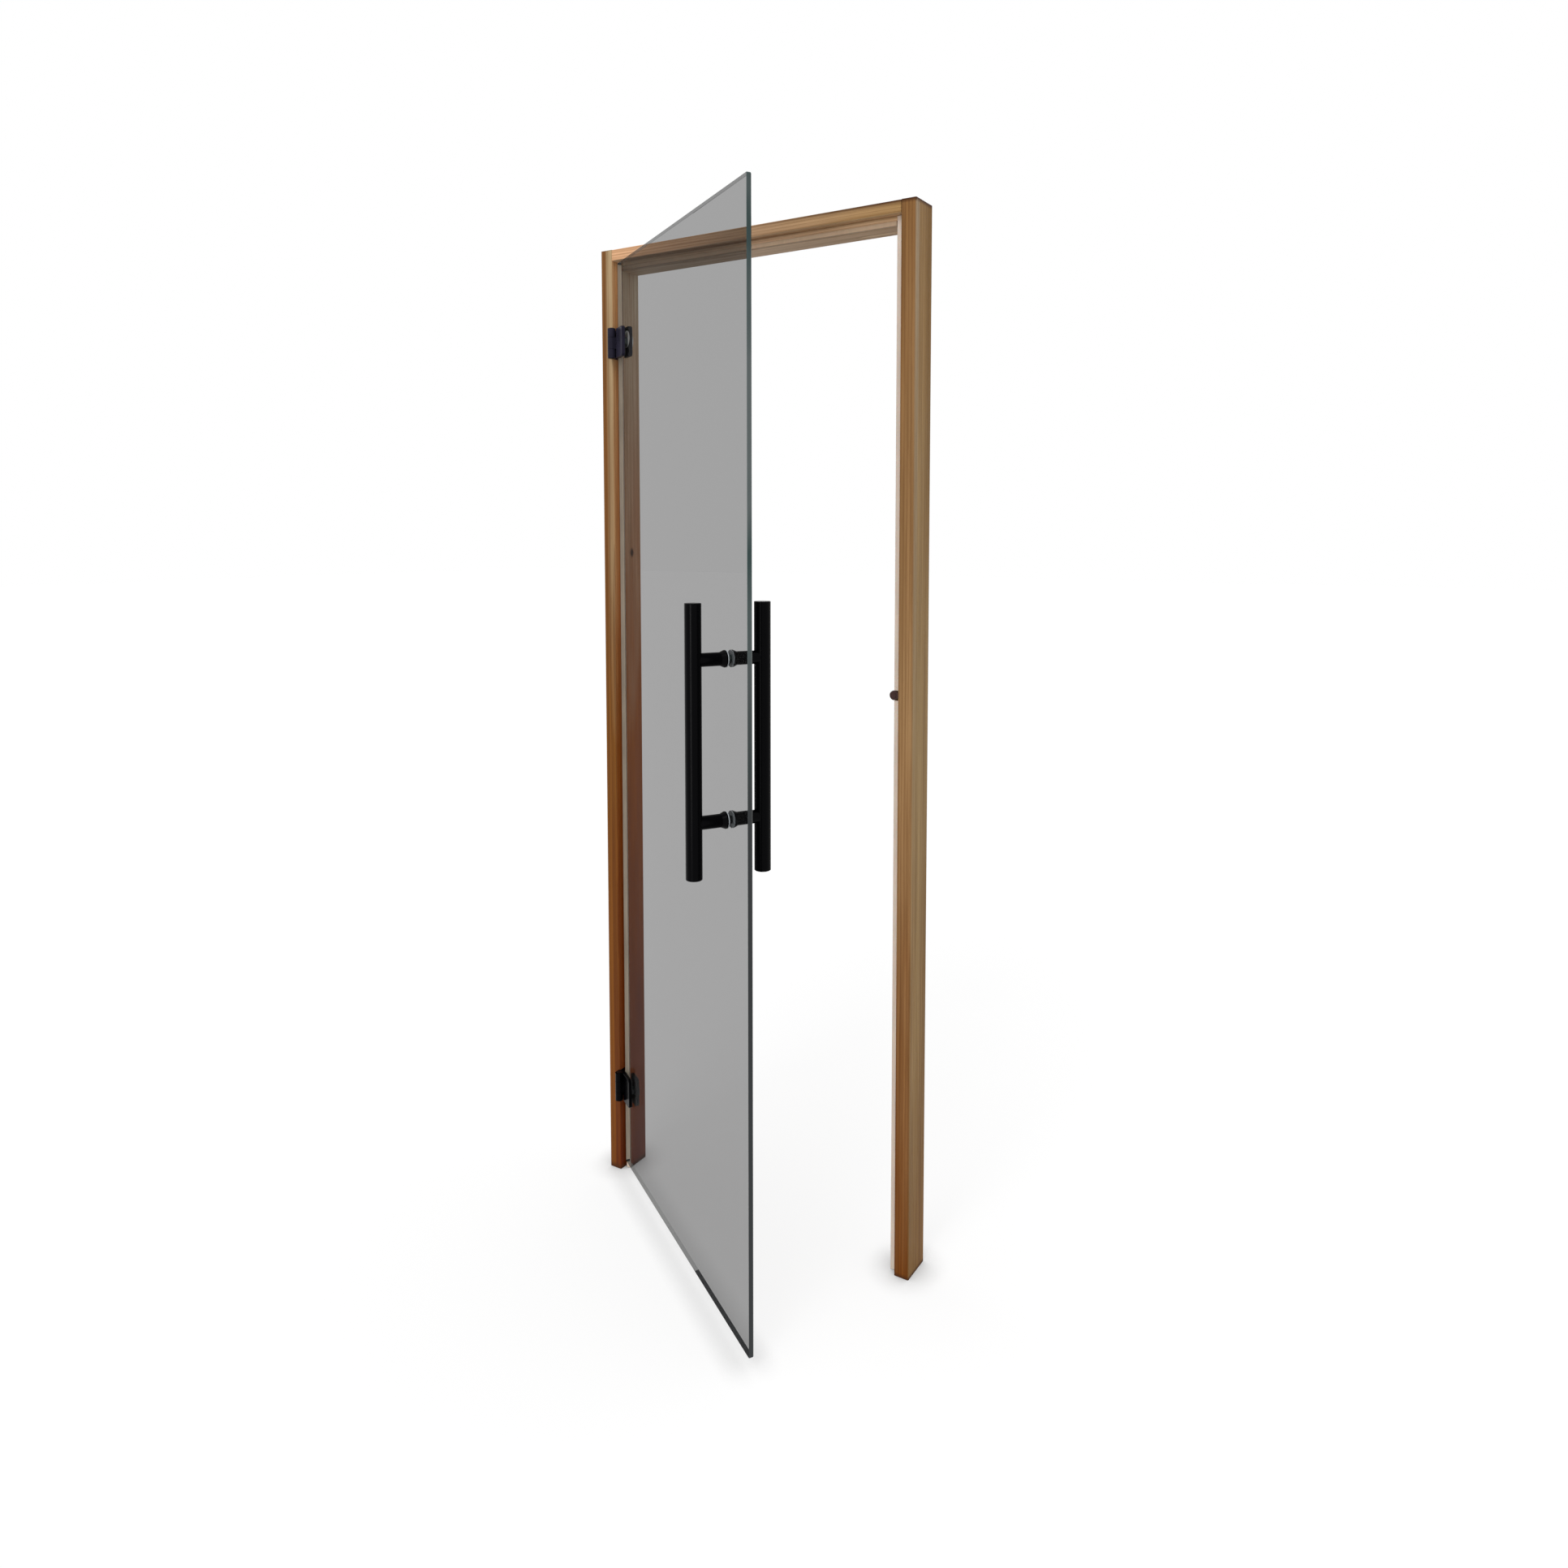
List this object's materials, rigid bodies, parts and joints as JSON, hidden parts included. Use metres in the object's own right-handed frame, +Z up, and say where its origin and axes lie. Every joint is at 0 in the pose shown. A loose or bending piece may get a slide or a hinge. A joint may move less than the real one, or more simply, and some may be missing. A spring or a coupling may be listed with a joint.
{
  "type": "sauna door",
  "caption": "All-glass sauna door: a tinted frameless leaf on two clamp hinges in a rebated three-sided timber frame, with back-to-back black bar handles.",
  "frame": {"origin": "on the hinge jamb's outer face, at floor level, midway through the frame's depth", "axes": "+X along the width from the hinge jamb to the latch jamb, +Y from the front to the back, +Z up"},
  "size_m": [0.69, 0.4098, 1.89],
  "materials": {
    "frame_timber": "oiled, brushed",
    "seal_strip": "soft pale silicone",
    "tinted_glass": "polished, grey tint",
    "black_metal": "satin black coat",
    "pin_steel": "dark steel",
    "catch_plastic": "dark moulded",
    "gasket_rubber": "thin black sheet",
    "clear_washer": "clear pale plastic"
  },
  "bodies": {
    "frame": {"hinge_jamb": "frame_timber", "latch_jamb": "frame_timber", "head": "frame_timber", "hinge_seal": "seal_strip", "latch_seal": "seal_strip", "head_seal": "seal_strip", "catch_clip": "catch_plastic", "catch_button": "catch_plastic", "upper_jamb_leaf": "black_metal", "upper_hinge_pin": "pin_steel", "lower_jamb_leaf": "black_metal", "lower_hinge_pin": "pin_steel"},
    "door": {"glass": "tinted_glass", "upper_door_leaf": "black_metal", "upper_clamp_plate": "black_metal", "lower_door_leaf": "black_metal", "lower_clamp_plate": "black_metal", "outer_gaskets": "gasket_rubber", "outer_handle_bar": "black_metal", "outer_bar_caps": "black_metal", "outer_standoffs": "black_metal", "outer_washers": "clear_washer", "inner_gaskets": "gasket_rubber", "inner_handle_bar": "black_metal", "inner_bar_caps": "black_metal", "inner_standoffs": "black_metal", "inner_washers": "clear_washer", "handle_studs": "pin_steel", "handle_sleeves": "clear_washer"}
  },
  "joints": [
    {"name": "door_swing", "type": "hinge", "parent": "frame", "child": "door", "pos_m": [0.033, -0.0415, 0.185], "axis": [0, 0, -1], "range_deg": [-32, 78]}
  ]
}
